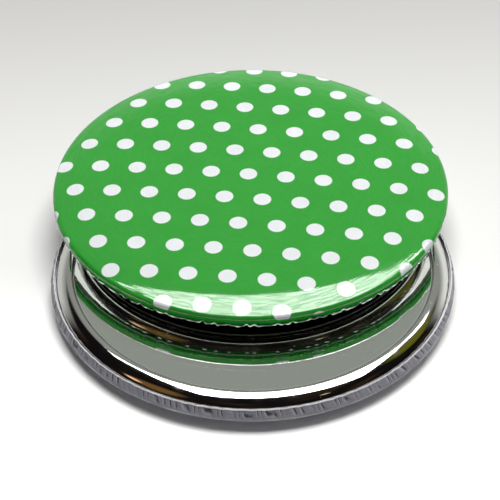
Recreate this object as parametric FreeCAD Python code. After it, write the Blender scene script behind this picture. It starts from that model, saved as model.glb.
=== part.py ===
"""Swivel compact mirror: two crimped mirror discs joined by an upright pin near the edge.

Millimetres, +Z up. The base lies with its mirror up and its crown on the ground plane,
and the lid hangs over it with its mirror down. Each half is drawn in its own frame, with
the crown of its dome at zero and depth counted towards its mirror, then put in place.
"""
import FreeCAD, Part
import math
import os

# Case halves: base and lid share these sizes
case_diameter = 58.0
shoulder_width = 7.0  # dome's edge to the widest circle, across
dome_rise = 0.595  # fall of the dome from the crown to its edge
rim_depth = 2.2  # crown to the widest circle
face_rise = 2.32  # widest circle to the mirror face
rim_round_share = 0.4175  # round of the edge, of the height from dome's edge to widest circle
tuck_round = 1.7  # round of the skin past the widest circle
rest_radius = 14.0  # flat that the base stands on

# Skin of a half, from the outside in
film_thickness = 0.10
paper_thickness = 0.10
tin_thickness = 0.22
skin_tuck_angle = 54.6  # where film and paper end, past the widest circle
tin_tuck_angle = 10.0

# Back plate: a pan whose skirt stands on the inside of the tinplate
plate_thickness = 0.35
plate_inset = 0.1  # from the tinplate's widest inside
skirt_thickness = 0.3
seat_clearance = 0.03

# Mirror
glass_thickness = 1.0
glass_seam = 0.12  # chamfer of the glass edge
silvering_thickness = 0.06
pad_thickness = 0.4
pad_margin = 0.6
mirror_recess = 0.04
mirror_clearance = 0.08

# Collar round the mirror
collar_width = 2.4
collar_thickness = 0.3
collar_rise = 1.25  # mirror face down to where the outer wall starts to round over
collar_round_share = 0.28  # of that rise
collar_clearance = 0.06

# Swivel
lid_gap = 1.11  # between the two mirror faces
swing_at_rest = 28.5  # degrees open from closed
swing_open = 180.0
pivot_bearing = 15.0  # degrees from +X, about the base's centre
pin_radius = 0.5
pin_head_margin = 0.15  # under the bush flange's radius
pin_head_thickness = 0.35
running_clearance = 0.03
fit_clearance = 0.01
bush_wall = 0.3
bush_flange_clearance = 0.05  # to the collar's wall
bush_flange_thickness = 0.3
bush_proud = 0.1  # bush end over the mirror face
collar_hole_clearance = 0.06
pin_washer_thickness = 0.2
spring_height = 0.24
spring_thickness = 0.14
peg_radius = 0.35
peg_offset = 1.95  # from the pin, along the rim towards the front
peg_height_share = 0.7  # of the gap between the halves
cam_clearance = 0.15  # from the peg's path to the cam's core
cam_overlap = 0.3  # of the sector past the peg's axis
stop_clearance_angle = 1.0

overrun = 1.0  # how far cutters reach past what they cut

# Skin, worked out from the sizes above
case_radius = case_diameter / 2
case_depth = rim_depth + face_rise
dome_edge_radius = case_radius - shoulder_width
dome_radius = (dome_edge_radius**2 + dome_rise**2) / (2 * dome_rise)
dome_slope = math.asin(dome_edge_radius / dome_radius)
rest_sag = dome_radius - math.sqrt(dome_radius**2 - rest_radius**2)
rim_radius = rim_round_share * (rim_depth - dome_rise)
rim_centre = (case_radius - rim_radius, rim_depth)
tuck_centre = (case_radius - tuck_round, rim_depth)
paper_depth = film_thickness
tin_depth = film_thickness + paper_thickness
skin_depth = tin_depth + tin_thickness

# Mirror and collar, worked out
silvering_depth = case_depth - mirror_recess - glass_thickness
pad_top = silvering_depth - silvering_thickness
plate_top = pad_top - pad_thickness
plate_depth = plate_top - plate_thickness
plate_radius = case_radius - skin_depth - plate_inset
tuck_radius = tuck_centre[0] + (tuck_round - tin_depth) * math.cos(math.radians(skin_tuck_angle))
collar_wall_radius = tuck_radius - collar_clearance
collar_lip_radius = collar_wall_radius - collar_width
collar_round = collar_round_share * collar_rise
glass_radius = collar_lip_radius - mirror_clearance

# Swivel, worked out: the pin stands midway across the collar's inside
collar_room = (collar_width - collar_thickness) / 2
pivot_circle_radius = collar_lip_radius + collar_room
bush_radius = pin_radius + bush_wall
bush_flange_radius = collar_room - bush_flange_clearance
pin_head_radius = bush_flange_radius - pin_head_margin
cam_core_radius = peg_offset - peg_radius - cam_clearance
cam_radius = peg_offset + cam_overlap
base_mirror_z = case_depth - rest_sag
lid_crown_z = base_mirror_z + lid_gap + case_depth
pivot_angle = math.radians(pivot_bearing)
pivot_x = pivot_circle_radius * math.cos(pivot_angle)
pivot_y = pivot_circle_radius * math.sin(pivot_angle)
lid_angle = pivot_angle + math.pi - math.radians(swing_at_rest)
lid_x = pivot_x + pivot_circle_radius * math.cos(lid_angle)
lid_y = pivot_y + pivot_circle_radius * math.sin(lid_angle)
peg_bearing = pivot_angle - 2 * math.asin(peg_offset / (2 * pivot_circle_radius))
peg_x = pivot_circle_radius * math.cos(peg_bearing)
peg_y = pivot_circle_radius * math.sin(peg_bearing)


def tangent_round(start, slope, end_centre, end_radius):
    """Centre and radius of the arc that leaves start at slope and runs into the end arc."""
    across = end_centre[0] - start[0]
    down = end_centre[1] - start[1]
    reach = down * math.cos(slope) - across * math.sin(slope) - end_radius
    radius = (across**2 + down**2 - end_radius**2) / (2 * reach)
    centre = (start[0] - radius * math.sin(slope), start[1] + radius * math.cos(slope))
    return centre, radius


def on_arc(centre, radius, angle):
    """Point of an arc, with the angle counted from the crown's side outwards."""
    return FreeCAD.Vector(centre[0] + radius * math.sin(angle), 0, centre[1] - radius * math.cos(angle))


def arc(centre, radius, first, last):
    """Edge of an arc between two angles."""
    points = [on_arc(centre, radius, angle) for angle in (first, (first + last) / 2, last)]
    return Part.Arc(*points).toShape()


def chain(corners):
    """Straight edges from corner to corner, given as radius and depth."""
    points = [FreeCAD.Vector(radius, 0, depth) for radius, depth in corners]
    return [Part.LineSegment(a, b).toShape() for a, b in zip(points, points[1:])]


def ends(edge):
    """Both ends of an edge as radius and depth."""
    return [(vertex.Point.x, vertex.Point.z) for vertex in edge.Vertexes]


def turned(edges):
    """Solid turned about the axis from the edges of half its section."""
    wire = Part.Wire(Part.__sortEdges__(edges))
    solid = Part.Face(wire).revolve(FreeCAD.Vector(), FreeCAD.Vector(0, 0, 1), 360)
    return Part.Solid(solid.Shells[0]) if solid.ShapeType != "Solid" else solid


def tube(outer, inner, low, high):
    """Round tube about the axis, or a rod where the inner radius is zero."""
    return turned(chain([(inner, low), (outer, low), (outer, high), (inner, high), (inner, low)]))


def skin_curve(depth, tuck, flat_radius):
    """Edges of the curve that lies depth under the film's face, from the axis to its tuck."""
    shoulder_centre, shoulder_radius = tangent_round(
        (dome_edge_radius, dome_rise), dome_slope, rim_centre, rim_radius)
    join = math.atan2(rim_centre[0] - shoulder_centre[0], shoulder_centre[1] - rim_centre[1])
    sag = dome_radius - math.sqrt(dome_radius**2 - flat_radius**2)
    first = math.acos((dome_radius - sag - depth) / (dome_radius - depth)) if flat_radius else 0
    dome = arc((0, dome_radius), dome_radius - depth, first, dome_slope)
    shoulder = arc(shoulder_centre, shoulder_radius - depth, dome_slope, join)
    rim = arc(rim_centre, rim_radius - depth, join, math.pi / 2)
    under = arc(tuck_centre, tuck_round - depth, math.pi / 2, math.pi / 2 + math.radians(tuck))
    flat = chain([(0, sag + depth), ends(dome)[0]]) if flat_radius else []
    return flat + [dome, shoulder, rim, under]


def skin_layer(outside, inside, tuck, flat_radius):
    """One layer of the skin between two depths under the film's face."""
    outer = skin_curve(outside, tuck, flat_radius)
    inner = skin_curve(inside, tuck, flat_radius)
    axis = chain([ends(outer[0])[0], ends(inner[0])[0]])
    edge = chain([ends(outer[-1])[1], ends(inner[-1])[1]])
    return turned(outer + edge + inner + axis)


def back_plate(pivot):
    """Pressed pan: floor, skirt down to the tinplate and the hole for the bush."""
    reach = plate_radius - rim_centre[0]
    seat = rim_depth - math.sqrt((rim_radius - skin_depth)**2 - reach**2) + seat_clearance
    floor = tube(plate_radius, 0, plate_depth, plate_top)
    skirt = tube(plate_radius, plate_radius - skirt_thickness, seat, plate_depth)
    hole = tube(bush_radius + fit_clearance, 0, plate_depth - overrun, plate_top + overrun)
    return floor.fuse(skirt).removeSplitter().cut(hole.translated(pivot))


def mirror_glass():
    """Glass disc with both edges seamed."""
    back = silvering_depth
    face = back + glass_thickness
    inset = glass_radius - glass_seam
    return turned(chain([(0, back), (inset, back), (glass_radius, back + glass_seam),
                         (glass_radius, face - glass_seam), (inset, face), (0, face), (0, back)]))


def mirror_silvering():
    """Reflecting coat on the back of the glass."""
    return tube(glass_radius - glass_seam, 0, pad_top, silvering_depth)


def mirror_pad():
    """Foam disc that sticks the mirror to the back plate."""
    return tube(collar_lip_radius - pad_margin, 0, plate_top, pad_top)


def collar_curve(depth):
    """Edges of the collar's section at a depth under its face, from lip to wall foot."""
    low_centre = (collar_wall_radius - collar_round, case_depth - collar_rise)
    (crown_r, crown_drop), crown_radius = tangent_round(
        (collar_lip_radius, 0), 0, (low_centre[0], collar_rise), collar_round)
    join = math.pi - math.atan2(low_centre[0] - crown_r, crown_drop - collar_rise)
    crown = arc((crown_r, case_depth - crown_drop), crown_radius - depth, math.pi, join)
    shoulder = arc(low_centre, collar_round - depth, join, math.pi / 2)
    wall = collar_wall_radius - depth
    return [crown, shoulder] + chain([(wall, low_centre[1]), (wall, plate_top)])


def collar(holes):
    """Bright ring from the mirror's edge over to the tucked film, with its holes."""
    face = collar_curve(0)
    back = collar_curve(collar_thickness)
    lip = chain([(collar_lip_radius, case_depth), (collar_lip_radius, case_depth - collar_thickness)])
    foot = chain([ends(face[-1])[1], ends(back[-1])[1]])
    ring = turned(face + foot + back + lip)
    for place, radius in holes:
        ring = ring.cut(tube(radius, 0, plate_top, case_depth + overrun).translated(place))
    return ring


def bushing(clearance, pivot):
    """Flanged bush through back plate and collar, standing proud of the mirror face."""
    bore = pin_radius + clearance
    barrel = tube(bush_radius, bore, plate_depth, case_depth + bush_proud)
    flange = tube(bush_flange_radius, bore, plate_top, plate_top + bush_flange_thickness)
    return barrel.fuse(flange).removeSplitter().translated(pivot)


def half_pieces(pivot, flat_radius, bush_clearance, more_holes):
    """Pieces of one half in its own frame, by name."""
    holes = [(pivot, bush_radius + collar_hole_clearance)] + more_holes
    return {
        "film": skin_layer(0, paper_depth, skin_tuck_angle, flat_radius),
        "paper": skin_layer(paper_depth, tin_depth, skin_tuck_angle, flat_radius),
        "shell": skin_layer(tin_depth, skin_depth, tin_tuck_angle, flat_radius),
        "back_plate": back_plate(pivot),
        "mirror_pad": mirror_pad(),
        "mirror_silvering": mirror_silvering(),
        "mirror_glass": mirror_glass(),
        "collar": collar(holes),
        "bushing": bushing(bush_clearance, pivot),
    }


def base_height(depth):
    """Height of a depth in the base."""
    return depth - rest_sag


def lid_height(depth):
    """Height of a depth in the lid."""
    return lid_crown_z - depth


def base_half():
    """The base's pieces where they lie."""
    peg_hole = (FreeCAD.Vector(peg_x, peg_y, 0), peg_radius + collar_hole_clearance)
    pieces = half_pieces(FreeCAD.Vector(pivot_x, pivot_y, 0), rest_radius, running_clearance, [peg_hole])
    return {f"base_{name}": shape.translated(FreeCAD.Vector(0, 0, base_height(0)))
            for name, shape in pieces.items()}


def lid_half():
    """The lid's pieces turned over and put in place."""
    pieces = half_pieces(FreeCAD.Vector(pivot_x - lid_x, lid_y - pivot_y, 0), 0, fit_clearance, [])
    placed = {}
    for name, shape in pieces.items():
        shape.rotate(FreeCAD.Vector(), FreeCAD.Vector(1, 0, 0), 180)
        placed[f"lid_{name}"] = shape.translated(FreeCAD.Vector(lid_x, lid_y, lid_height(0)))
    return placed


def swivel_pin():
    """Pin with its lower head in the base and its formed head in the lid."""
    low = base_height(plate_depth) - spring_height - running_clearance
    high = lid_height(plate_depth) + pin_washer_thickness
    return turned(chain([
        (0, low - pin_head_thickness), (pin_head_radius, low - pin_head_thickness), (pin_head_radius, low),
        (pin_radius, low), (pin_radius, high), (pin_head_radius, high),
        (pin_head_radius, high + pin_head_thickness), (0, high + pin_head_thickness),
        (0, low - pin_head_thickness)]))


def pin_washer():
    """Washer between the lid's back plate and the formed head."""
    low = lid_height(plate_depth)
    return tube(bush_flange_radius, pin_radius + fit_clearance, low, low + pin_washer_thickness)


def spring_washer():
    """Cone spring between the lower head and the base's back plate."""
    bore = pin_radius + running_clearance
    high = base_height(plate_depth)
    low = high - spring_height
    return turned(chain([(bore, high - spring_thickness), (bush_flange_radius, low),
                         (bush_flange_radius, low + spring_thickness), (bore, high),
                         (bore, high - spring_thickness)]))


def stop_cam():
    """Spacer under the lid's bush, with a sector that the peg lets swing from stop to stop."""
    low = base_height(case_depth) + bush_proud + running_clearance
    high = lid_height(case_depth) - bush_proud
    peg_half_angle = math.degrees(math.asin(peg_radius / peg_offset)) + stop_clearance_angle
    peg_direction = math.degrees(math.atan2(peg_y - pivot_y, peg_x - pivot_x))
    last = peg_direction - peg_half_angle - swing_at_rest
    span = 360 - swing_open - 2 * peg_half_angle
    axis = FreeCAD.Vector(0, 0, 1)
    sector = Part.makeCylinder(cam_radius, high - low, FreeCAD.Vector(0, 0, low), axis, span)
    sector.rotate(FreeCAD.Vector(), axis, last - span)
    bore = tube(pin_radius + fit_clearance, 0, low - overrun, high + overrun)
    return sector.fuse(tube(cam_core_radius, 0, low, high)).removeSplitter().cut(bore)


def stop_peg():
    """Peg that stands on the base's back plate and reaches into the gap."""
    return tube(peg_radius, 0, base_height(plate_top), base_height(case_depth) + lid_gap * peg_height_share)


def swivel():
    """The swivel's own pieces where they lie."""
    on_pivot = {"swivel_pin": swivel_pin(), "pin_washer": pin_washer(), "spring_washer": spring_washer(),
                "stop_cam": stop_cam()}
    placed = {name: shape.translated(FreeCAD.Vector(pivot_x, pivot_y, 0)) for name, shape in on_pivot.items()}
    placed["stop_peg"] = stop_peg().translated(FreeCAD.Vector(peg_x, peg_y, 0))
    return placed


os.makedirs("parts", exist_ok=True)
for node, solid in {**base_half(), **lid_half(), **swivel()}.items():
    solid.exportStep(f"parts/{node}.step")
    print(node, len(solid.Solids), round(solid.Volume, 3), solid.isValid())
print("lid centre", round(lid_x, 3), round(lid_y, 3), "crown", round(lid_crown_z, 3))
print("pivot", round(pivot_x, 4), round(pivot_y, 4))
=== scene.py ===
"""Dressed swivel compact mirror: two crimped mirror discs on one upright pin, in a plain studio.

Sizes in the classes are millimetres, as in the drawing of the part; meshes are in metres in the
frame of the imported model. Each half is turned in its own frame, with depth counted from its crown.
"""
import logging
import math
from dataclasses import dataclass, field
from enum import Enum
from functools import cache
from typing import Any, Sequence

import bpy
import numpy as np
from mathutils import Matrix, Vector


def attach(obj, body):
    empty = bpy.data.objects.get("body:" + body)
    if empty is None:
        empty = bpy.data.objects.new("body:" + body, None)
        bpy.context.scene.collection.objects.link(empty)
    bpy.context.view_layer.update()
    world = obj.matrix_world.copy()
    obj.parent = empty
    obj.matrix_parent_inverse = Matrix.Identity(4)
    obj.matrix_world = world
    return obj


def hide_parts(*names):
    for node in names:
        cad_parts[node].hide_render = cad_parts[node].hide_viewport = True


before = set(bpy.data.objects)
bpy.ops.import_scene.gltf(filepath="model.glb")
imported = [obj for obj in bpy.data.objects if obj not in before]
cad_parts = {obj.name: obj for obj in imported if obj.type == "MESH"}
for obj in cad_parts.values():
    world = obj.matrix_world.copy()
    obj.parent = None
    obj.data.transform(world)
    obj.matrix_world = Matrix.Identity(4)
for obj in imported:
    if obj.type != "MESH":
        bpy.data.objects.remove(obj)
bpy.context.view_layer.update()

LOG = logging.getLogger("compact")
MM = 0.001
FULL_TURN = 2 * math.pi
RIGHT_ANGLE = math.pi / 2
FINE_TOOTH = 0.01
COARSE_TOOTH = 0.02
PRINCIPLED = "ShaderNodeBsdfPrincipled"
FLAT = (1.0, 1.0, 0.0)
PER_METRE = 1000.0
SMUDGE_SWIRL = 1.2
SMUDGE_STEP = (0.4, 0.7)
SPECK_STEP = (0.16, 0.05)
TOOTH_SHARE = 0.5
FIBRE_MIDDLE = 0.75
BLOTCHES = 900.0
BLOTCH_STEP = (0.38, 0.58)
BLOTCH_SHARE = (0.2, 1.0)
LINE_STEP = (1.0, 0.2)
RIDGE_PLACE = -0.2

BASE_CROWN = -0.24085
BASE_FLAT = 14.0
LID_CROWN = 9.90915
LID_CENTRE = (-0.172, 13.172)
BUSH_HOLE = (25.8471, 6.9257, 0.86)
PEG_HOLE = (26.2828, 5.025, 0.41)

Array = np.ndarray
Colour = tuple[float, float, float, float]
Span = tuple[float, float]
Point = tuple[float, float, float]
Waves = tuple[int, int, int, int]
Socket = bpy.types.NodeSocket
Tree = bpy.types.NodeTree
Object = bpy.types.Object


class Side(Enum):
    """The two halves of the compact."""

    BASE = "base"
    LID = "lid"


class Graph:
    """Short hand for wiring one node tree."""

    def __init__(self, tree: Tree) -> None:
        """Keep the tree that the nodes go into."""
        self.tree = tree

    def add(self, kind: str, values: dict[Any, Any] | None = None, **settings: Any) -> bpy.types.Node:
        """Add a node, set its properties and fill its inputs.

        Args:
            kind: Node type.
            values: Input name or index to a constant or to the socket that feeds it.
            settings: Properties of the node.

        Returns:
            The new node.
        """
        node = self.tree.nodes.new(kind)
        for key, value in settings.items():
            setattr(node, key, value)
        for key, value in (values or {}).items():
            if isinstance(value, Socket):
                self.link(value, node.inputs[key])
            else:
                node.inputs[key].default_value = value
        return node

    def first(self, *given: Any, **settings: Any) -> Socket:
        """First output of a new node, added in the same way."""
        return self.add(*given, **settings).outputs[0]

    def link(self, source: Socket, target: Socket) -> None:
        """Feed one socket from another."""
        self.tree.links.new(source, target)

    def group(self, tree: Tree, values: dict[str, float] | None = None) -> Any:
        """Outputs of a node group fed with the given values."""
        return self.add("ShaderNodeGroup", values, node_tree=tree).outputs

    def math(self, operation: str, *values: Any) -> Socket:
        """Value of a Math node fed with the given values."""
        return self.first("ShaderNodeMath", dict(enumerate(values)), operation=operation)

    def vector(self, operation: str, *values: Any) -> Socket:
        """Vector or number of a Vector Math node fed with the given values."""
        node = self.add("ShaderNodeVectorMath", dict(enumerate(values)), operation=operation)
        return node.outputs["Value" if operation in ("LENGTH", "DOT_PRODUCT") else "Vector"]

    def split(self, vector: Socket) -> Any:
        """The three parts of a vector."""
        return self.add("ShaderNodeSeparateXYZ", {0: vector}).outputs

    def ramp(self, value: Any, low: float, high: float, start: float = 0.0, end: float = 1.0) -> Socket:
        """Smooth step of a value from start at low to end at high."""
        return self.first("ShaderNodeMapRange", {0: value, 1: low, 2: high, 3: start, 4: end},
                          interpolation_type="SMOOTHSTEP")

    def mix(self, factor: Any, first: Any, second: Any, blend: str = "MIX") -> Socket:
        """Colour mixed from two colours."""
        node = self.add("ShaderNodeMix", {0: factor, 6: first, 7: second}, data_type="RGBA", blend_type=blend)
        return node.outputs[2]

    def shade(self, colour: Any, shade: Socket) -> Socket:
        """Colour times a shade."""
        return self.mix(1.0, colour, shade, "MULTIPLY")

    def noise(self, vector: Socket, scale: Any, detail: float = 3.0, swirl: float = 0.0) -> Socket:
        """Value of a noise texture."""
        return self.first("ShaderNodeTexNoise", {"Vector": vector, "Scale": scale, "Detail": detail,
                                                 "Distortion": swirl})

    def bump(self, height: Socket, strength: float, depth: float) -> Socket:
        """Normal bent by a height; the depth is in millimetres."""
        return self.first("ShaderNodeBump", {"Height": height, "Strength": strength, "Distance": depth * MM})

    def place(self) -> Socket:
        """Place on the object, in metres."""
        return self.add("ShaderNodeTexCoord").outputs["Object"]

    def wrap(self) -> Socket:
        """Flat place along a skin in millimetres, and how far it is tucked under."""
        return self.add("ShaderNodeAttribute", attribute_name="wrap").outputs["Vector"]

    def seen(self) -> Socket:
        """One for rays that show a surface, directly or in a gloss, and zero for others."""
        path = self.add("ShaderNodeLightPath").outputs
        mirrored = self.math("MAXIMUM", path["Is Glossy Ray"], path["Is Transmission Ray"])
        return self.math("MAXIMUM", path["Is Camera Ray"], mirrored)


class Effects:
    """Node groups for the effects that several finishes share."""

    @staticmethod
    def _start(name: str, inputs: dict[str, float], outputs: Sequence[str]) -> tuple[Graph, Any, Any]:
        """Graph of a new group, and the sockets for what it gets and gives."""
        tree = bpy.data.node_groups.new(name, "ShaderNodeTree")
        for key, value in inputs.items():
            socket = tree.interface.new_socket(key, in_out="INPUT", socket_type="NodeSocketFloat")
            socket.default_value = value
        for key in outputs:
            tree.interface.new_socket(key, in_out="OUTPUT", socket_type="NodeSocketFloat")
        graph = Graph(tree)
        return graph, graph.add("NodeGroupInput").outputs, graph.add("NodeGroupOutput").inputs

    @staticmethod
    @cache
    def streaks() -> Tree:
        """Fine rings round the axis, from the wrap coordinates of a turned piece."""
        g, given, out = Effects._start("turning_streaks", {"Rings": 3.0, "Sweep": 2.0}, ["Height"])
        flat = g.vector("MULTIPLY", g.wrap(), FLAT)
        bearing = g.first("ShaderNodeVectorMath", {0: g.vector("NORMALIZE", flat), "Scale": given["Sweep"]},
                          operation="SCALE")
        reach = g.math("MULTIPLY", g.vector("LENGTH", flat), given["Rings"])
        ring = g.first("ShaderNodeCombineXYZ", {2: reach})
        g.link(g.noise(g.vector("ADD", bearing, ring), 1.0, 2.0), out["Height"])
        return g.tree

    @staticmethod
    @cache
    def handling() -> Tree:
        """Smudges and specks left by hands and pockets."""
        inputs = {"Smudge Size": 9.0, "Speck Size": 0.9, "Specks": 0.5}
        g, given, out = Effects._start("handling_marks", inputs, ["Smudge", "Speck"])
        place = g.place()
        smudges, specks = (g.math("DIVIDE", PER_METRE, given[key])
                           for key in ("Smudge Size", "Speck Size"))
        smudge = g.noise(place, smudges, 4.0, SMUDGE_SWIRL)
        cells = g.add("ShaderNodeTexVoronoi", {"Vector": place, "Scale": specks}).outputs
        drawn = g.first("ShaderNodeSeparateColor", {0: cells["Color"]})
        chance = g.math("LESS_THAN", drawn, given["Specks"])
        g.link(g.ramp(smudge, *SMUDGE_STEP), out["Smudge"])
        g.link(g.math("MULTIPLY", chance, g.ramp(cells["Distance"], *SPECK_STEP)), out["Speck"])
        return g.tree

    @staticmethod
    @cache
    def fibre() -> Tree:
        """Cloudy shade and fine tooth of a paper or a cast surface."""
        inputs = {"Cloud Size": 6.0, "Tooth Size": 0.25, "Depth": 0.06}
        g, given, out = Effects._start("fibre_shade", inputs, ["Shade", "Height"])
        place = g.place()
        cloud, tooth = (g.noise(place, g.math("DIVIDE", PER_METRE, given[key]), detail)
                        for key, detail in (("Cloud Size", 3.0), ("Tooth Size", 2.0)))
        both = g.math("ADD", cloud, g.math("MULTIPLY", tooth, TOOTH_SHARE))
        shade = g.math("MULTIPLY_ADD", g.math("SUBTRACT", both, FIBRE_MIDDLE), given["Depth"], 1.0)
        g.link(shade, out["Shade"])
        g.link(tooth, out["Height"])
        return g.tree

    @staticmethod
    @cache
    def pleats() -> Tree:
        """Painted shade along the crease and painted highlight on the ridge of each pleat, from the pleat
        coordinates of a gathered skin.
        """
        g, given, out = Effects._start("pleat_painted_shade_and_highlight", {"Line": 0.2, "Painted Ridge Highlight": 0.22}, ["Painted Crease Shade", "Painted Ridge Highlight"])
        turn = g.split(g.add("ShaderNodeAttribute", attribute_name="pleat").outputs["Vector"])
        part = g.math("DIVIDE", g.math("ARCTAN2", turn[1], turn[0]), FULL_TURN)
        blotch = g.noise(g.place(), BLOTCHES, 2.0)
        vary = g.ramp(blotch, *BLOTCH_STEP, *BLOTCH_SHARE)
        for key, middle, width in (("Painted Crease Shade", 0.0, "Line"), ("Painted Ridge Highlight", RIDGE_PLACE, "Painted Ridge Highlight")):
            away = g.math("ABSOLUTE", g.math("SUBTRACT", part, middle))
            line = g.ramp(g.math("DIVIDE", away, given[width]), *LINE_STEP)
            g.link(g.math("MULTIPLY", g.math("MULTIPLY", line, turn[2]), vary), out[key])
        return g.tree


@dataclass(frozen=True)
class Finish:
    """A finish: its name and how its material is wired."""

    name: str

    def material(self) -> bpy.types.Material:
        """The finish's material, made on first use."""
        found = bpy.data.materials.get(self.name)
        if found:
            return found
        made = bpy.data.materials.new(self.name)
        made.use_nodes = True
        made.node_tree.nodes.clear()
        graph = Graph(made.node_tree)
        graph.add("ShaderNodeOutputMaterial", {"Surface": self.wire(graph)})
        return made

    def wire(self, g: Graph) -> Socket:
        """Wire the shader.

        Args:
            g: The material's graph.

        Returns:
            The shader socket for the surface.
        """
        raise NotImplementedError


@dataclass(frozen=True)
class ClearFilm(Finish):
    """Glossy clear film: reflects by angle and shows the paper through it."""

    roughness: float = 0.05
    smudged: float = 0.03
    ripple: float = 0.5
    ripple_depth: float = 0.032
    ripple_reach: Span = (26.0, 28.8)
    ripple_share: Span = (0.1, 1.0)
    sheen_step: Span = (0.36, 0.62)
    faces: Span = (0.77, 1.54)
    most: float = 0.5
    smooth_tuck: Span = (0.0, 0.12)
    smooth_share: Span = (1.0, 0.04)

    def wire(self, g: Graph) -> Socket:
        """Wire a mirror gloss over a clear body, fainter where the film is pleated."""
        ripples = g.group(Effects.streaks(), {"Rings": 2.4, "Sweep": 5.0})
        sheen = g.group(Effects.streaks(), {"Rings": 4.5, "Sweep": 11.0})
        marks = g.group(Effects.handling(), {"Smudge Size": 12.0, "Speck Size": 1.4, "Specks": 0.05})
        wrap = g.wrap()
        reach = g.vector("LENGTH", g.vector("MULTIPLY", wrap, FLAT))
        rise = g.math("MULTIPLY", ripples["Height"], g.ramp(reach, *self.ripple_reach, *self.ripple_share))
        normal = g.bump(rise, self.ripple, self.ripple_depth)
        rough = g.math("MULTIPLY_ADD", marks["Smudge"], self.smudged, self.roughness)
        gloss = g.first(PRINCIPLED, {
            "Base Color": (0.97, 0.98, 0.98, 1.0), "Metallic": 1.0, "Roughness": rough, "Normal": normal})
        clear = g.first("ShaderNodeBsdfTransparent", {"Color": (0.975, 0.98, 0.985, 1.0)})
        fresnel = g.first("ShaderNodeFresnel", {"IOR": 1.6, "Normal": normal})
        faces = g.ramp(sheen["Height"], *self.sheen_step, *self.faces)
        both_faces = g.math("MINIMUM", g.math("MULTIPLY", fresnel, faces), self.most)
        smooth = g.ramp(g.split(wrap)[2], *self.smooth_tuck, *self.smooth_share)
        kept = g.math("MULTIPLY_ADD", both_faces, g.math("SUBTRACT", 1.0, smooth), smooth)
        front = g.math("SUBTRACT", 1.0, g.add("ShaderNodeNewGeometry").outputs["Backfacing"])
        share = g.math("MULTIPLY", g.math("MULTIPLY", both_faces, kept), front)
        return g.first("ShaderNodeMixShader", {0: share, 1: clear, 2: gloss})


@dataclass(frozen=True)
class FilmEdge(Finish):
    """Cut and stretched edge of the film; where set, it carries a painted glow in sparkling spots, light
    painted onto an edge that is no lamp.
    """

    colour: Colour = (0.86, 0.87, 0.88, 1.0)
    tooth: float = 0.3
    # glow and the strength below: a painted glow, light painted onto the film's edge
    glow: Colour = (0.70, 0.85, 0.74, 1.0)
    painted_glow_strength: float = 0.0
    painted_sparkle_scale: float = 1100.0
    painted_sparkle_step: Span = (0.44, 0.60)
    painted_sparkle_share: Span = (0.1, 1.8)

    def wire(self, g: Graph) -> Socket:
        """Wire a milky gloss with a painted glow in sparkling spots, shown only to camera rays."""
        fibre = g.group(Effects.fibre(), {"Cloud Size": 1.6, "Tooth Size": 0.3, "Depth": 0.5})
        # painted glow: emission in noisy sparkling spots, shown to camera rays only
        strength = [self.painted_glow_strength * share for share in self.painted_sparkle_share]
        painted_sparkle = g.ramp(g.noise(g.place(), self.painted_sparkle_scale, 0.0), *self.painted_sparkle_step, *strength)
        painted_sparkle = g.math("MULTIPLY", painted_sparkle, g.add("ShaderNodeLightPath").outputs["Is Camera Ray"])
        colour = g.shade(self.colour, fibre["Shade"])
        normal = g.bump(fibre["Height"], self.tooth, COARSE_TOOTH)
        return g.first(PRINCIPLED, {
            "Base Color": colour, "Roughness": 0.2, "Normal": normal,
            "Emission Color": self.glow, "Emission Strength": painted_sparkle})


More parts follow.
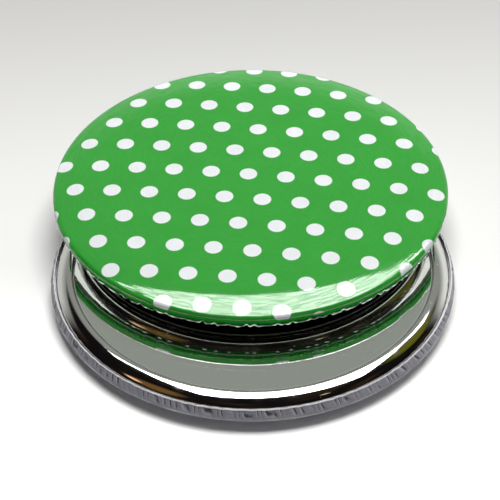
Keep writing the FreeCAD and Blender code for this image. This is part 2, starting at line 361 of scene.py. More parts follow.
@dataclass(frozen=True)
class DottedPaper(Finish):
    """Paper printed one colour, with a brick pattern of round dots left white; its rim is painted lighter,
    and its tuck and creases are painted with shade.
    """

    tooth: float = 0.1
    ground: Colour = (0.036, 0.385, 0.040, 1.0)
    dot: Colour = (0.89, 0.90, 0.91, 1.0)
    # rim: lighter, purer green, painted light where the paper turns under
    rim: Colour = (0.012, 0.46, 0.018, 1.0)
    # tuck: dark green, painted shade on the tucked-under paper
    tuck: Colour = (0.006, 0.14, 0.012, 1.0)
    # painted shade along the creases, and its strength below
    crease_painted_shade: Colour = (0.004, 0.05, 0.008, 1.0)
    crease_painted_shade_strength: float = 0.7
    pitch: float = 5.513
    radius: float = 1.28
    soft: Span = (1.04, 0.96)
    turn: float = -7.952
    offset: Span = (-0.283, 0.494)
    row_shift: float = -0.5
    dots_end: Span = (0.1, 0.02)
    # where the painted rim light and the painted tuck shade come in, along the tuck
    rim_tuck: Span = (0.05, 0.3)
    painted_shade_tuck: Span = (0.2, 0.6)

    def dots(self, g: Graph, wrap: Any) -> Socket:
        """Mask of the dots, from the parts of the wrap coordinates."""
        u = g.math("SUBTRACT", wrap[0], self.offset[0])
        v = g.math("SUBTRACT", wrap[1], self.offset[1])
        c = math.cos(math.radians(self.turn)) / self.pitch
        s = math.sin(math.radians(self.turn)) / self.pitch
        along = g.math("ADD", g.math("MULTIPLY", u, c), g.math("MULTIPLY", v, s))
        across = g.math("SUBTRACT", g.math("MULTIPLY", u, s), g.math("MULTIPLY", v, c))
        row = g.math("ROUND", across)
        shifted = g.math("MULTIPLY_ADD", row, self.row_shift, along)
        du = g.math("SUBTRACT", shifted, g.math("ROUND", shifted))
        dv = g.math("SUBTRACT", across, row)
        far = g.math("SQRT", g.math("ADD", g.math("MULTIPLY", du, du), g.math("MULTIPLY", dv, dv)))
        edge = [part * self.radius / self.pitch for part in self.soft]
        return g.math("MULTIPLY", g.ramp(far, *edge), g.ramp(wrap[2], *self.dots_end))

    def wire(self, g: Graph) -> Socket:
        """Wire the print, painted lighter on the rim, painted with shade where it is tucked under, and with
        painted shade in the creases.
        """
        wrap = g.split(g.wrap())
        fibre = g.group(Effects.fibre(), {"Cloud Size": 5.0, "Tooth Size": 0.2, "Depth": 0.16})
        lines = g.group(Effects.pleats(), {"Line": 0.2})
        # painted light on the rim, then painted shade on the tuck
        ground = g.mix(g.ramp(wrap[2], *self.rim_tuck), self.ground, self.rim)
        ground = g.mix(g.ramp(wrap[2], *self.painted_shade_tuck), ground, self.tuck)
        colour = g.shade(g.mix(self.dots(g, wrap), ground, self.dot), fibre["Shade"])
        # painted shade in the creases
        colour = g.mix(g.math("MULTIPLY", lines["Painted Crease Shade"], self.crease_painted_shade_strength), colour, self.crease_painted_shade)
        normal = g.bump(fibre["Height"], self.tooth, FINE_TOOTH)
        return g.first(PRINCIPLED, {
            "Base Color": colour, "Roughness": 0.6, "Specular IOR Level": 0.0, "Normal": normal})


@dataclass(frozen=True)
class PlainPaper(Finish):
    """Unprinted pale paper, its tone darkened to a mid grey as painted shade, with painted shade in the
    creases and painted highlights on the ridges.
    """

    tooth: float = 0.15
    # colour: pale paper darkened to a mid grey, painted shade
    colour: Colour = (0.36, 0.35, 0.39, 1.0)
    # painted highlight on the ridges
    ridge_painted_highlight: Colour = (0.66, 0.65, 0.69, 1.0)
    crease_painted_shade: Colour = (0.06, 0.055, 0.07, 1.0)
    ridge_painted_highlight_strength: float = 0.6
    crease_painted_shade_strength: float = 0.9

    def wire(self, g: Graph) -> Socket:
        """Wire a cloudy tone, darkened as painted shade, with painted shade in the creases and painted
        highlights on the ridges.
        """
        fibre = g.group(Effects.fibre(), {"Cloud Size": 3.0, "Tooth Size": 0.2, "Depth": 0.25})
        lines = g.group(Effects.pleats())
        colour = g.shade(self.colour, fibre["Shade"])
        # painted highlight on the ridges, then painted shade in the creases
        colour = g.mix(g.math("MULTIPLY", lines["Painted Ridge Highlight"], self.ridge_painted_highlight_strength), colour, self.ridge_painted_highlight)
        colour = g.mix(g.math("MULTIPLY", lines["Painted Crease Shade"], self.crease_painted_shade_strength), colour, self.crease_painted_shade)
        normal = g.bump(fibre["Height"], self.tooth, FINE_TOOTH)
        return g.first(PRINCIPLED, {
            "Base Color": colour, "Roughness": 0.65, "Specular IOR Level": 0.0, "Normal": normal})


@dataclass(frozen=True)
class BrightPlate(Finish):
    """Bright plating with faint rings from spinning, smudges and specks."""

    colour: Colour = (0.80, 0.80, 0.785, 1.0)
    speck: Colour = (0.9, 0.88, 0.84, 1.0)
    specked: float = 0.5
    roughness: float = 0.05
    smudged: float = 0.06
    speck_roughness: float = 0.4
    rings: float = 6.0
    ring_depth: float = 0.25

    def wire(self, g: Graph) -> Socket:
        """Wire a mirror-bright metal."""
        streak = g.group(Effects.streaks(), {"Rings": self.rings, "Sweep": 14.0})
        marks = g.group(Effects.handling(), {"Smudge Size": 5.0, "Speck Size": 0.8, "Specks": 0.12})
        rough = g.math("MULTIPLY_ADD", marks["Smudge"], self.smudged, self.roughness)
        rough = g.math("MULTIPLY_ADD", marks["Speck"], self.speck_roughness, rough)
        colour = g.mix(g.math("MULTIPLY", marks["Speck"], self.specked), self.colour, self.speck)
        normal = g.bump(streak["Height"], self.ring_depth, FINE_TOOTH)
        return g.first(PRINCIPLED, {
            "Base Color": colour, "Metallic": 1.0, "Roughness": rough, "Normal": normal})


@dataclass(frozen=True)
class Silvering(Finish):
    """Silvered coat behind the glass."""

    colour: Colour = (0.93, 0.935, 0.92, 1.0)
    speck: Colour = (0.6, 0.6, 0.58, 1.0)
    roughness: float = 0.004
    smudged: float = 0.012

    def wire(self, g: Graph) -> Socket:
        """Wire a clean mirror with a trace of haze."""
        marks = g.group(Effects.handling(), {"Smudge Size": 14.0, "Speck Size": 2.0, "Specks": 0.06})
        rough = g.math("MULTIPLY_ADD", marks["Smudge"], self.smudged, self.roughness)
        colour = g.mix(marks["Speck"], self.colour, self.speck)
        return g.first(PRINCIPLED, {
            "Base Color": colour, "Metallic": 1.0, "Roughness": rough})


@dataclass(frozen=True)
class MirrorGlass(Finish):
    """Clear float glass that lets lamps through to the coat behind it."""

    colour: Colour = (0.97, 0.99, 0.975, 1.0)
    smudged: float = 0.008

    def wire(self, g: Graph) -> Socket:
        """Wire clear glass with faint smudges."""
        marks = g.group(Effects.handling(), {"Smudge Size": 10.0, "Speck Size": 1.1, "Specks": 0.04})
        rough = g.math("MULTIPLY", marks["Smudge"], self.smudged)
        glass = g.first(PRINCIPLED, {
            "Base Color": self.colour, "Roughness": rough, "IOR": 1.52, "Transmission Weight": 1.0})
        shadow = g.add("ShaderNodeLightPath").outputs["Is Shadow Ray"]
        clear = g.first("ShaderNodeBsdfTransparent", {"Color": (0.9, 0.92, 0.905, 1.0)})
        return g.first("ShaderNodeMixShader", {0: shadow, 1: glass, 2: clear})


@dataclass(frozen=True)
class Metal(Finish):
    """Plain worked metal: tinplate, pressed steel, turned steel or brass."""

    colour: Colour = (0.6, 0.6, 0.6, 1.0)
    roughness: float = 0.3
    smudged: float = 0.15
    grain: float = 0.3

    def wire(self, g: Graph) -> Socket:
        """Wire a worked metal with smudges and grain."""
        marks = g.group(Effects.handling(), {"Smudge Size": 4.0, "Speck Size": 0.7, "Specks": 0.2})
        fibre = g.group(Effects.fibre(), {"Cloud Size": 2.5, "Tooth Size": 0.12, "Depth": 0.25})
        rough = g.math("MULTIPLY_ADD", marks["Smudge"], self.smudged, self.roughness)
        normal = g.bump(fibre["Height"], self.grain, FINE_TOOTH)
        return g.first(PRINCIPLED, {
            "Base Color": g.shade(self.colour, fibre["Shade"]), "Metallic": 1.0, "Roughness": rough,
            "Normal": normal})


@dataclass(frozen=True)
class Matte(Finish):
    """Matt non-metal: foam or ground glass."""

    colour: Colour = (0.8, 0.8, 0.78, 1.0)
    tooth_size: float = 0.3
    roughness: float = 0.85
    tooth: float = 0.4

    def wire(self, g: Graph) -> Socket:
        """Wire a matt surface with a visible tooth."""
        fibre = g.group(Effects.fibre(), {"Cloud Size": 4.0, "Tooth Size": self.tooth_size, "Depth": 0.2})
        return g.first(PRINCIPLED, {
            "Base Color": g.shade(self.colour, fibre["Shade"]), "Roughness": self.roughness,
            "Normal": g.bump(fibre["Height"], self.tooth, COARSE_TOOTH)})


FILM = ClearFilm("film_gloss")
# The lid's film edge carries a painted glow; the base's carries none.
FILM_EDGE = {Side.BASE: FilmEdge("film_edge_white", colour=(0.80, 0.79, 0.83, 1.0)),
             Side.LID: FilmEdge("film_edge_clear", colour=(0.34, 0.40, 0.35, 1.0), painted_glow_strength=0.7)}
DOTTED = DottedPaper("dot_print")
PLAIN = PlainPaper("white_stock")
COLLAR = BrightPlate("collar_plating")
SILVER = Silvering("mirror_silver")
GLASS = MirrorGlass("float_glass")
GROUND_EDGE = Matte("ground_glass_edge", (0.30, 0.33, 0.31, 1.0), tooth_size=0.1, roughness=0.55)
TINPLATE = Metal("shell_tinplate", (0.62, 0.62, 0.60, 1.0), roughness=0.28)
PLATE = Metal("pressed_plate", (0.55, 0.55, 0.54, 1.0), roughness=0.34)
FOAM = Matte("pad_foam", (0.85, 0.85, 0.82, 1.0), tooth_size=0.35)
BRASS = Metal("turned_brass", (0.72, 0.55, 0.26, 1.0), roughness=0.24)
PIN_STEEL = Metal("turned_steel", (0.60, 0.60, 0.60, 1.0), roughness=0.22)


@dataclass
class Rings:
    """Mesh built from rings about an axis; a ring may have one point, or a multiple of its neighbour's.

    A row holds a ring's points, its wrap and pleat coordinates, and the slot of the faces that lead to it.
    """

    rows: list[tuple[Array, Array, Array, int]] = field(default_factory=list)

    @staticmethod
    def _between(a: int, na: int, b: int, nb: int) -> list[tuple[int, ...]]:
        """Faces between two rings that start at vertex a and b and have na and nb points."""
        if na == 1:
            return [(a, b + (i + 1) % nb, b + i) for i in range(nb)]
        if nb == 1:
            return [(a + i, a + (i + 1) % na, b) for i in range(na)]
        if nb >= na:
            k = nb // na
            return [(a + i, a + (i + 1) % na) + tuple(b + (k * (i + 1) - j) % nb for j in range(k + 1))
                    for i in range(na)]
        k = na // nb
        return [tuple(a + (k * i + j) % na for j in range(k + 1)) + (b + (i + 1) % nb, b + i)
                for i in range(nb)]

    def mesh(self, name: str, closed: bool = False) -> Object:
        """Object from the rings.

        Args:
            name: Object name.
            closed: Whether the last ring joins the first.

        Returns:
            The new object, smooth shaded, with its wrap and pleat coordinates as attributes.
        """
        points, wraps, turns, marks = zip(*self.rows)
        counts = [len(ring) for ring in points]
        starts = np.concatenate([[0], np.cumsum(counts)]).tolist()
        faces: list[tuple[int, ...]] = []
        slots: list[int] = []
        last = len(counts)
        for i in range(last if closed else last - 1):
            j = (i + 1) % last
            more = self._between(starts[i], counts[i], starts[j], counts[j])
            faces += more
            slots += [marks[j]] * len(more)
        mesh = bpy.data.meshes.new(name)
        mesh.from_pydata(np.concatenate(points).tolist(), [], faces)
        for key, rows in (("wrap", wraps), ("pleat", turns)):
            mesh.attributes.new(key, "FLOAT_VECTOR", "POINT").data.foreach_set(
                "vector", np.concatenate(rows).astype(np.float32).ravel())
        mesh.polygons.foreach_set("material_index", slots)
        mesh.shade_smooth()
        mesh.update()
        return put(name, mesh)


def put(name: str, data: bpy.types.ID) -> Object:
    """New object with its data, linked to the scene."""
    made = bpy.data.objects.new(name, data)
    bpy.context.scene.collection.objects.link(made)
    return made


def dress(obj: Object, *finishes: Finish) -> None:
    """Give a new object its finishes, one material slot each."""
    for finish in finishes:
        obj.data.materials.append(finish.material())


def dress_node(node: str, finish: Finish) -> None:
    """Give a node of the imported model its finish."""
    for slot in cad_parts[node].material_slots:
        slot.material = finish.material()
    LOG.info("%s: packed solid in %s", node, finish.name)


@dataclass
class Pleats:
    """Folds of the skin where it is gathered; shares of the tuck run from 0 at the rim to 1 at its edge."""

    count: int = 170
    height: float = 0.12
    skew: float = 0.5
    seed: int = 3
    grown: Span = (0.05, 0.5)
    wander: float = 0.35
    wander_waves: Waves = (20, 70, 7, 1)
    lean: float = 0.72
    size: float = 0.75
    size_vary: float = 0.25
    size_limits: Span = (0.3, 1.2)
    size_waves: Waves = (30, 140, 9, 2)
    flare: float = 0.05
    flare_from: float = 0.78
    edge_wave: float = 0.6
    edge_waves: Waves = (25, 120, 8, 4)
    trim: float = 0.0
    puckers: int = 0
    pinch_depth: float = 0.38
    pinch_from: float = 0.4
    pinch_back: float = 8.0
    pinch_width: float = 0.9
    pinch_place: Span = (0.1, 0.9)
    pinch_size: Span = (0.35, 1.0)
    pinch_shift: int = 5

    def waves(self, angle: Array, low: int, high: int, terms: int, shift: int) -> Array:
        """Smooth periodic noise of about unit size round the rim.

        Args:
            angle: Bearings in radians.
            low: Least number of waves round the rim.
            high: Most waves.
            terms: How many are added.
            shift: Added to the seed.

        Returns:
            The noise at each bearing.
        """
        rng = np.random.default_rng(self.seed + shift)
        total = np.zeros_like(angle)
        for number, phase in zip(rng.integers(low, high, terms), rng.uniform(0, FULL_TURN, terms)):
            total += np.sin(number * angle + phase)
        return total / math.sqrt(terms / 2)

    @staticmethod
    def past(share: float, start: float) -> float:
        """How far a share is past a start, from 0 there to 1 at the edge."""
        return max((share - start) / (1 - start), 0.0)

    def lift(self, angle: Array, share: float) -> Array:
        """Height of the folds over the plain skin at each bearing, for a share of the tuck."""
        curl = self.past(share, self.flare_from)
        rise = self.height * self.growth(share) * self.folds(angle, share) + self.flare * curl * curl
        return rise - self.pinch_depth * self.past(share, self.pinch_from) * self.pinches(angle)

    def growth(self, share: float) -> float:
        """How far the folds have grown at a share of the tuck, from 0 to 1."""
        low, high = self.grown
        part = min(max((share - low) / (high - low), 0.0), 1.0)
        return part * part * (3 - 2 * part)

    def phase(self, angle: Array, share: float) -> Array:
        """Place among the pleats, one unit to each pleat and whole numbers in the creases."""
        wander = self.wander * self.waves(angle, *self.wander_waves)
        return self.count * angle / FULL_TURN + self.skew * share + wander

    def turn(self, angle: Array, share: float) -> Array:
        """Cosine and sine of the place within the pleat, and how far the pleat has grown."""
        phase = FULL_TURN * self.phase(angle, share)
        return np.stack([np.cos(phase), np.sin(phase), np.full_like(angle, self.growth(share))], axis=-1)

    def folds(self, angle: Array, share: float) -> Array:
        """Shape of the folds at each bearing, 0 in the creases and about 1 on the ridges."""
        part = self.phase(angle, share)
        part = part - np.floor(part)
        fold = np.where(part < self.lean, part / self.lean, (1 - part) / (1 - self.lean))
        size = self.size + self.size_vary * self.waves(angle, *self.size_waves)
        return np.sqrt(fold) * np.clip(size, *self.size_limits)

    def end(self, angle: Array) -> Array:
        """How much further the skin is tucked at each bearing, in degrees."""
        wave = self.edge_wave * self.waves(angle, *self.edge_waves)
        return wave - self.trim - self.pinch_back * self.pinches(angle)

    def pinches(self, angle: Array) -> Array:
        """Where the edge is pinched in between puckers, from 0 to 1 at each bearing."""
        total = np.zeros_like(angle)
        rng = np.random.default_rng(self.seed + self.pinch_shift)
        places = np.arange(self.puckers) + rng.uniform(*self.pinch_place, self.puckers)
        spots = places * FULL_TURN / max(self.puckers, 1)
        for spot, size in zip(spots, rng.uniform(*self.pinch_size, self.puckers)):
            away = np.abs((angle - spot + math.pi) % FULL_TURN - math.pi)
            near = np.clip(1 - away / math.radians(self.pinch_width), 0.0, 1.0)
            total = np.maximum(total, size * near)
        return total


@dataclass
class CaseSkin:
    """Section of a half's skin, as drawn: dome, shoulder, rim and tuck."""

    radius: float = 29.0
    shoulder: float = 7.0
    dome_rise: float = 0.595
    rim_depth: float = 2.2
    rim_round: float = 0.67009
    tuck_round: float = 1.7
    tuck_angle: float = 54.6
    stretch: float = 0.72
    flat_rings: tuple[float, ...] = (0.35, 0.7, 0.985)
    steps: tuple[int, int, int, int] = (12, 14, 12, 16)
    coarse: int = 240
    fine: int = 1440
    fine_from: float = 75.0

    def sections(self, depth: float, flat: float) -> list[tuple[float, float, float, float, float]]:
        """Points of the section at a depth under the film's face.

        Args:
            depth: Depth under the face.
            flat: Radius of the flat pressed into the crown, or zero.

        Returns:
            Radius, depth, tilt of the face, length along the film's face and share of the tuck for each.
        """
        edge = self.radius - self.shoulder
        dome = (edge**2 + self.dome_rise**2) / (2 * self.dome_rise)
        slope = math.asin(edge / dome)
        rim = (self.radius - self.rim_round, self.rim_depth)
        across, down = rim[0] - edge, rim[1] - self.dome_rise
        reach = down * math.cos(slope) - across * math.sin(slope) - self.rim_round
        size = (across**2 + down**2 - self.rim_round**2) / (2 * reach)
        centre = (edge - size * math.sin(slope), self.dome_rise + size * math.cos(slope))
        join = math.atan2(rim[0] - centre[0], centre[1] - rim[1])
        last = RIGHT_ANGLE + math.radians(self.tuck_angle)
        tuck = (self.radius - self.tuck_round, self.rim_depth)
        ends = (math.asin(flat / dome), slope, join, RIGHT_ANGLE, last)
        middles = ((0.0, dome), centre, rim, tuck)
        sizes = (dome, size, self.rim_round, self.tuck_round)
        sag = dome - math.sqrt(dome**2 - flat**2)
        length, rows = flat, []
        if flat:
            rows = [(flat * part, sag + depth, 0.0, flat * part, 0.0) for part in self.flat_rings]
        for (cr, cd), big, first, final, steps in zip(middles, sizes, ends, ends[1:], self.steps):
            pull = self.stretch if first >= join else 1.0
            thin = big - depth
            for step in range(1, steps + 1):
                tilt = first + (final - first) * step / steps
                share = max(0.0, (tilt - RIGHT_ANGLE) / (last - RIGHT_ANGLE))
                at = length + big * (tilt - first) * pull
                rows.append((cr + thin * math.sin(tilt), cd - thin * math.cos(tilt), tilt, at, share))
            length += big * (final - first) * pull
        return rows


@dataclass
class CaseHalf:
    """One half of the compact: wrapped skin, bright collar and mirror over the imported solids.

    A hole is given as the place of its middle in the model and its radius.
    """

    side: Side
    paper: Finish
    pleats: Pleats
    centre: Span = (0.0, 0.0)
    crown: float = 0.0
    flat: float = 0.0
    holes: tuple[Point, ...] = ()
    skin: CaseSkin = field(default_factory=CaseSkin)
    film_thickness: float = 0.10
    paper_thickness: float = 0.10
    paper_gap: float = 0.004
    paper_short: float = 5.0
    edge_share: float = 0.9
    case_depth: float = 4.52
    collar_wall: float = 28.1092
    collar_width: float = 2.4
    collar_thickness: float = 0.3
    collar_rise: float = 1.25
    collar_round: float = 0.35
    collar_foot: float = 3.02
    collar_points: int = 480
    collar_sharp: float = 38.0
    crest_steps: int = 24
    round_steps: int = 20
    lip_round: float = 0.15
    lip_points: int = 9
    drill_points: int = 48
    drill_over: float = 1.0
    glass_radius: float = 25.6292
    glass_thickness: float = 1.0
    glass_recess: float = 0.04
    glass_lift: float = 0.004
    glass_points: int = 360
    glass_sharp: float = 20.0
    seam: float = 0.12
    seam_ring: float = 1.2
    seam_start: float = 0.3
    seam_points: int = 5

    @property
    def sign(self) -> float:
        """Which way depth runs in the model: up for the base and down for the lid."""
        return 1.0 if self.side is Side.BASE else -1.0

    def place(self, radius: Any, depth: Any, angle: Array) -> Array:
        """Points in metres from radius, depth and bearing in the half's own frame."""
        x = self.centre[0] + radius * np.cos(angle)
        y = self.centre[1] + self.sign * radius * np.sin(angle)
        return np.stack([x, y, np.full_like(angle, self.crown + self.sign * depth)], axis=-1) * MM

    def wrap(self, length: float, share: float, angle: Array) -> Array:
        """Flat place along the skin of a ring's points, in millimetres, and how far they are tucked under."""
        x, y = length * np.cos(angle), self.sign * length * np.sin(angle)
        return np.stack([x, y, np.full_like(angle, share)], axis=-1)

    @staticmethod
    def bearings(count: int) -> Array:
        """Evenly spaced bearings."""
        return np.arange(count) * (FULL_TURN / count)

    def add(self, obj: Object, node: str, slot: str) -> None:
        """Let a piece stand for a node of this half, and ride with it."""
        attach(obj, self.side.value)
        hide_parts(node)
        LOG.info("%s: %d faces", obj.name, len(obj.data.polygons))

    def turned(self, name: str, rows: Sequence[tuple[float, float, float, int]], count: int,
               closed: bool = False, shift: Span = (0.0, 0.0)) -> Object:
        """Piece turned about the half's axis, or about one beside it.

        Args:
            name: Object name.
            rows: Radius, depth, length along the surface and material slot of each ring.
            count: Points in a ring, save one of no radius.
            closed: Whether the last ring joins the first.
            shift: Place of its axis from the half's.

        Returns:
            The piece.
        """
        rings = Rings()
        for radius, depth, length, mark in rows:
            angle = self.bearings(count if radius else 1)
            points = self.place(radius, depth, angle) + np.array([*shift, 0.0]) * MM
            rings.rows.append((points, self.wrap(length, 0.0, angle), np.zeros_like(points), mark))
        return rings.mesh(name, closed)

    def layer(self, name: str, outside: float, inside: float, short: float, lip: int) -> Object:
        """Closed layer of the skin between two depths under the film's face.

        Args:
            name: Object name.
            outside: Depth of its outer face.
            inside: Depth of its inner one.
            short: How many degrees earlier it ends than the film; less than zero runs further.
            lip: Material slot of its edge.

        Returns:
            The layer.
        """
        rings = Rings()
        for rows in (self._face(outside, short), self._face(inside, short)[::-1]):
            for radius, depth, length, share, angle in rows:
                mark = lip if share > self.edge_share else 0
                rings.rows.append((self.place(radius, depth, angle), self.wrap(length, share, angle),
                                   self.pleats.turn(angle, share), mark))
        return rings.mesh(name)

    def _face(self, depth: float, short: float) -> list[tuple[Any, Any, float, float, Array]]:
        """Radius, depth, length along the skin, tuck and bearings of each ring of a face, from the axis."""
        skin = self.skin
        rows = skin.sections(depth, self.flat)
        made = [(0.0, rows[0][1] if self.flat else depth, 0.0, 0.0, self.bearings(1))]
        for radius, fall, tilt, length, share in rows:
            angle = self.bearings(skin.fine if tilt > math.radians(skin.fine_from) else skin.coarse)
            if share > 0:
                tilt = tilt + np.radians(share * (self.pleats.end(angle) - short))
                size = skin.tuck_round - depth + self.pleats.lift(angle, share)
                radius = skin.radius - skin.tuck_round + size * np.sin(tilt)
                fall = skin.rim_depth - size * np.cos(tilt)
            made.append((radius, fall, length, share, angle))
        return made

    def build_skin(self) -> None:
        """Film and paper, pleated under the rim."""
        name = self.side.value
        film = self.layer(f"{name}_film_wrap", 0.0, self.film_thickness, 0.0, 1)
        dress(film, FILM, FILM_EDGE[self.side])
        self.add(film, f"{name}_film", "clear_film")
        sheet = self.layer(f"{name}_paper_wrap", self.film_thickness + self.paper_gap,
                           self.film_thickness + self.paper_thickness, self.paper_short, 0)
        dress(sheet, self.paper)
        self.add(sheet, f"{name}_paper", "plain_paper" if self.paper is PLAIN else "dotted_paper")

    def collar_section(self, depth: float) -> list[Span]:
        """Collar section at a depth under its face, from lip to foot, as radius and depth."""
        lip = self.collar_wall - self.collar_width
        low = (self.collar_wall - self.collar_round, self.case_depth - self.collar_rise)
        across, drop = low[0] - lip, self.collar_rise - self.collar_round
        size = (across**2 + self.collar_rise**2 - self.collar_round**2) / (2 * drop)
        join = math.atan2(across, size - self.collar_rise)
        crest = np.linspace(0.0, join, self.crest_steps + 1)
        edge = np.linspace(join, RIGHT_ANGLE, self.round_steps + 1)[1:]
        arcs = [(lip, self.case_depth - size, size - depth, crest), (*low, self.collar_round - depth, edge)]
        points = [(cr + big * math.sin(tilt), cd + big * math.cos(tilt))
                  for cr, cd, big, tilts in arcs for tilt in tilts]
        return points + [(self.collar_wall - depth, self.collar_foot)]

    def build_collar(self) -> None:
        """Bright ring round the mirror, its lip rolled in, with the holes for bush and peg."""
        face = self.collar_section(0.0)
        back = self.collar_section(self.collar_thickness)
        lip, roll = self.collar_wall - self.collar_width, self.lip_round
        loop = [(lip + roll * (1 - math.sin(a)), self.case_depth - roll * (1 - math.cos(a)))
                for a in np.linspace(RIGHT_ANGLE, 0.0, self.lip_points)]
        loop += [point for point in face if point[0] > lip + roll] + back[::-1]
        rows, run = [], lip
        for i, (radius, depth) in enumerate(loop):
            run += math.dist(loop[i - 1], loop[i]) if i else 0.0
            rows.append((radius, depth, run, 0))
        ring = self.turned(f"{self.side.value}_collar_ring", rows, self.collar_points, closed=True)
        ring.data.flip_normals()
        self.drill(ring)
        ring.data.set_sharp_from_angle(angle=math.radians(self.collar_sharp))
        dress(ring, COLLAR)
        self.add(ring, f"{self.side.value}_collar", "bright_collar")

    def drill(self, ring: Object) -> None:
        """Cut the round holes through the collar."""
        foot, top = self.collar_foot, self.case_depth + self.drill_over
        for x, y, radius in self.holes:
            rows = [(size, depth, 0.0, 0)
                    for size, depth in ((0.0, foot), (radius, foot), (radius, top), (0.0, top))]
            shift = (x - self.centre[0], y - self.centre[1])
            cutter = self.turned("drill", rows, self.drill_points, shift=shift)
            cut = ring.modifiers.new("hole", "BOOLEAN")
            cut.operation, cut.solver, cut.object = "DIFFERENCE", "EXACT", cutter
            bpy.context.view_layer.update()
            solid = bpy.data.meshes.new_from_object(ring.evaluated_get(bpy.context.evaluated_depsgraph_get()))
            ring.modifiers.clear()
            ring.data = solid
            bpy.data.objects.remove(cutter)

    def build_glass(self) -> None:
        """Glass disc with rounded, ground edges, a hair clear of its coat."""
        face = self.case_depth - self.glass_recess
        low = face - self.glass_thickness + self.glass_lift
        seam, inner = self.seam, self.glass_radius - self.seam
        clear = self.glass_radius - self.seam * self.seam_ring
        rows = [(0.0, low, 0), (clear, low, 0), (inner, low, 0)]
        rows += [(inner + seam * math.sin(a), low + seam - seam * math.cos(a), 1)
                 for a in np.linspace(self.seam_start, RIGHT_ANGLE, self.seam_points)]
        rows += [(inner + seam * math.cos(a), face - seam + seam * math.sin(a), 1)
                 for a in np.linspace(0.0, RIGHT_ANGLE - self.seam_start, self.seam_points)]
        rows += [(inner, face, 1), (clear, face, 0), (0.0, face, 0)]
        disc = self.turned(f"{self.side.value}_glass_disc",
                           [(radius, depth, radius, mark) for radius, depth, mark in rows], self.glass_points)
        disc.data.set_sharp_from_angle(angle=math.radians(self.glass_sharp))
        dress(disc, GLASS, GROUND_EDGE)
        self.add(disc, f"{self.side.value}_mirror_glass", "mirror_glass")

    def dress_solids(self) -> None:
        """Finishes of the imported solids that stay."""
        for part, finish in (("shell", TINPLATE), ("back_plate", PLATE), ("mirror_pad", FOAM),
                             ("mirror_silvering", SILVER), ("bushing", BRASS)):
            dress_node(f"{self.side.value}_{part}", finish)

    def build(self) -> None:
        """All of this half's pieces."""
        self.build_skin()
        self.build_collar()
        self.build_glass()
        self.dress_solids()


@dataclass
class Swivel:
    """Pin, washers, cam and peg of the swivel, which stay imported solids."""

    nodes: tuple[str, ...] = ("swivel_pin", "pin_washer", "spring_washer", "stop_cam", "stop_peg")

    def dress(self) -> None:
        """Give the swivel its steel."""
        for node in self.nodes:
            dress_node(node, PIN_STEEL)


@dataclass(frozen=True)
class FloorCard(Finish):
    """White card, shown brighter than white near the front as painted light and greying towards the back as
    painted shade.
    """

    # near, middle and far: painted light and shade in the tone shown to camera and gloss rays
    near: Colour = (1.40, 1.40, 1.40, 1.0)
    middle: Colour = (0.88, 0.88, 0.875, 1.0)
    far: Colour = (0.468, 0.463, 0.46, 1.0)
    plain: Colour = (0.85, 0.85, 0.845, 1.0)
    near_fall: Span = (-29.0, 7.0)
    far_fall: Span = (-10.0, 105.0)

    def wire(self, g: Graph) -> Socket:
        """Wire a matt card whose shown tone falls from painted light at the front to painted shade at the
        back; it lights the scene in its plain tone.
        """
        back = g.split(g.place())[1]
        near, far = (g.ramp(back, low * MM, high * MM) for low, high in (self.near_fall, self.far_fall))
        shown = g.mix(far, g.mix(near, self.near, self.middle), self.far)
        return g.first("ShaderNodeBsdfDiffuse", {"Color": g.mix(g.seen(), self.plain, shown)})


@dataclass(frozen=True)
class SoftLamp:
    """Soft lamp that faces straight down."""

    name: str
    size: Span
    place: Point
    turn: float
    power: float
    tint: Point = (1.0, 0.995, 0.985)

    def build(self) -> None:
        """Hang the lamp."""
        data = bpy.data.lights.new(self.name, "AREA")
        data.shape = "RECTANGLE"
        data.size, data.size_y = self.size[0] * MM, self.size[1] * MM
        data.energy = self.power
        data.color = self.tint
        lamp = put(self.name, data)
        lamp.location = Vector(self.place) * MM
        lamp.rotation_euler = (0.0, 0.0, math.radians(self.turn))


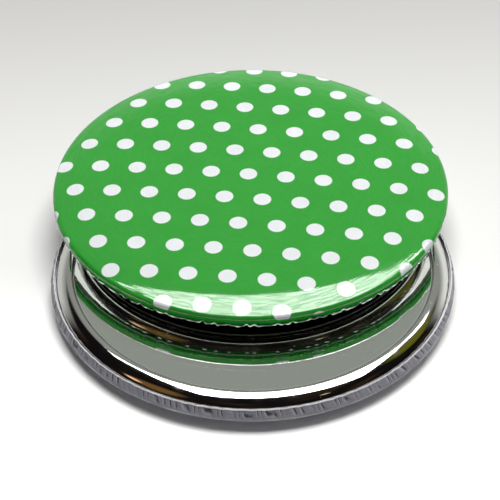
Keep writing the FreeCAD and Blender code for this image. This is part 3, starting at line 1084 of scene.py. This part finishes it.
@dataclass
class Studio:
    """Camera, card, lamps and room. Bearings, heights and the widths of glows are degrees."""

    backdrop: Colour = (0.285, 0.295, 0.27, 1.0)
    backdrop_left: Span = (-40.0, -28.0)
    backdrop_right: Span = (52.0, 36.0)
    dark_room: Colour = (0.006, 0.005, 0.005, 1.0)
    warm_room: Colour = (0.03, 0.018, 0.010, 1.0)
    warm_scale: float = 2.6
    warm_step: Span = (0.5, 0.72)
    room_glows: tuple[tuple[Point, float, Colour], ...] = (
        ((-0.58, -0.29, 0.76), 14.0, (0.17, 0.09, 0.027, 1.0)),
        ((-0.717, -0.194, 0.67), 5.0, (1.1, 0.65, 0.36, 1.0)),
        ((0.418, -0.336, 0.844), 2.2, (1.0, 0.75, 0.5, 1.0)),
        ((0.60, 0.36, 0.715), 15.0, (0.13, 0.125, 0.012, 1.0)))
    glow_core: float = 0.3
    left_wall: Colour = (0.62, 0.63, 0.60, 1.0)
    right_wall: Colour = (0.84, 0.85, 0.81, 1.0)
    wall_top: Colour = (0.29, 0.295, 0.275, 1.0)
    wall_across: Span = (-0.6, 0.4)
    wall_ahead: Span = (0.3, 0.6)
    wall_height: Span = (36.0, 30.0)
    wall_fade: Span = (34.0, 12.0)
    front_fill: Colour = (0.07, 0.07, 0.07, 1.0)
    front_ahead: Span = (0.2, -0.2)
    side_fill: Span = (0.5, 1.7)
    side_across: Span = (-0.7, 0.7)
    lamps: tuple[SoftLamp, ...] = (
        SoftLamp("overhead", (494.0, 381.0), (67.8, 191.8, 635.0), 8.0, 5.0),
        SoftLamp("strip", (190.0, 65.0), (349.0, 446.0, 635.0), 28.0, 0.33),
        SoftLamp("left_strip", (100.0, 30.0), (-248.0, 324.0, 635.0), 8.0, 0.08))
    aim: Point = (*LID_CENTRE, LID_CROWN)
    focal_pixels: float = 2020.99
    picture: float = 500.0
    sensor: float = 36.0
    clip: Span = (10.0, 20000.0)
    elevation: float = 40.836
    roll: float = -0.609
    slide: Span = (-0.058, -10.898)
    distance: float = 295.176
    card_half: float = 2500.0

    def build_camera(self) -> None:
        """Camera at the picture's viewing angle."""
        e, roll = math.radians(self.elevation), math.radians(self.roll)
        right, up = Vector((1, 0, 0)), Vector((0, math.sin(e), math.cos(e)))
        back = Vector((0, -math.cos(e), math.sin(e)))
        across = right * math.cos(roll) + up * math.sin(roll)
        upward = up * math.cos(roll) - right * math.sin(roll)
        place = Vector(self.aim) + across * self.slide[0] + upward * self.slide[1] + back * self.distance
        data = bpy.data.cameras.new("camera")
        data.sensor_width = self.sensor
        data.lens = self.focal_pixels * self.sensor / self.picture
        data.clip_start, data.clip_end = self.clip[0] * MM, self.clip[1] * MM
        camera = put("camera", data)
        turn = Matrix((across, upward, back)).transposed().to_4x4()
        camera.matrix_world = Matrix.Translation(place * MM) @ turn
        bpy.context.scene.camera = camera

    def build_card(self) -> None:
        """Pale card the compact lies on."""
        half = self.card_half * MM
        corners = [(x * half, y * half, 0.0) for x, y in ((-1, -1), (1, -1), (1, 1), (-1, 1))]
        mesh = bpy.data.meshes.new("card")
        mesh.from_pydata(corners, [], [(0, 1, 2, 3)])
        card = put("card", mesh)
        dress(card, FloorCard("white_card"))

    def room(self, g: Graph, aim: Socket, look: Any) -> Socket:
        """Colour seen in a direction: backdrop, pale walls low at the sides, and a dark room with glows.

        Args:
            g: The world's graph.
            aim: The direction.
            look: Its parts to the right, ahead and up.

        Returns:
            The colour.
        """
        height = g.math("ARCSINE", look[2])
        bearing = g.math("ARCTAN2", look[0], look[1])
        warm = g.ramp(g.noise(aim, self.warm_scale, 1.0), *self.warm_step)
        colour = g.mix(warm, self.dark_room, self.warm_room)
        for towards, width, tint in self.room_glows:
            near = g.vector("DOT_PRODUCT", aim, Vector(towards).normalized())
            edge, core = (math.cos(math.radians(angle)) for angle in (width, width * self.glow_core))
            colour = g.mix(g.ramp(near, edge, core), colour, tint)
        left = g.ramp(bearing, *np.radians(self.backdrop_left))
        right = g.ramp(bearing, *np.radians(self.backdrop_right))
        colour = g.mix(g.math("MULTIPLY", left, right), colour, self.backdrop)
        foot = g.mix(g.ramp(look[0], *self.wall_across), self.left_wall, self.right_wall)
        low = g.ramp(height, *np.radians(self.wall_height))
        walls = g.mix(g.ramp(height, *np.radians(self.wall_fade)), self.wall_top, foot)
        return g.mix(g.math("MULTIPLY", low, g.ramp(look[1], *self.wall_ahead)), colour, walls)

    def build_room(self) -> None:
        """The room as it is seen, and as it lights matt surfaces, with a fill from the front."""
        world = bpy.data.worlds.new("room")
        world.use_nodes = True
        world.node_tree.nodes.clear()
        g = Graph(world.node_tree)
        aim = g.add("ShaderNodeTexCoord").outputs["Generated"]
        look = g.split(aim)
        colour = self.room(g, aim, look)
        spread = g.mix(g.ramp(look[1], *self.front_ahead), colour, self.front_fill)
        spread = g.shade(spread, g.ramp(look[0], *self.side_across, *self.side_fill))
        glow = g.first("ShaderNodeBackground", {"Color": g.mix(g.seen(), spread, colour), "Strength": 1.0})
        g.add("ShaderNodeOutputWorld", {"Surface": glow})
        bpy.context.scene.world = world

    def build(self) -> None:
        """Set up the whole studio."""
        self.build_camera()
        self.build_card()
        for lamp in self.lamps:
            lamp.build()
        self.build_room()
        bpy.context.scene.view_settings.view_transform = "Standard"


def main() -> None:
    """Build the compact and the studio in order."""
    logging.basicConfig(level=logging.INFO, format="%(name)s: %(message)s")
    base = CaseHalf(Side.BASE, PLAIN, Pleats(), crown=BASE_CROWN, flat=BASE_FLAT, holes=(BUSH_HOLE, PEG_HOLE))
    lid = CaseHalf(Side.LID, DOTTED, Pleats(seed=11, flare=0.11, trim=9.0, puckers=84), centre=LID_CENTRE,
                   crown=LID_CROWN, edge_share=0.95, paper_short=-7.0, holes=(BUSH_HOLE,))
    base.build()
    lid.build()
    Swivel().dress()
    Studio().build()


if __name__ == "__main__":
    main()
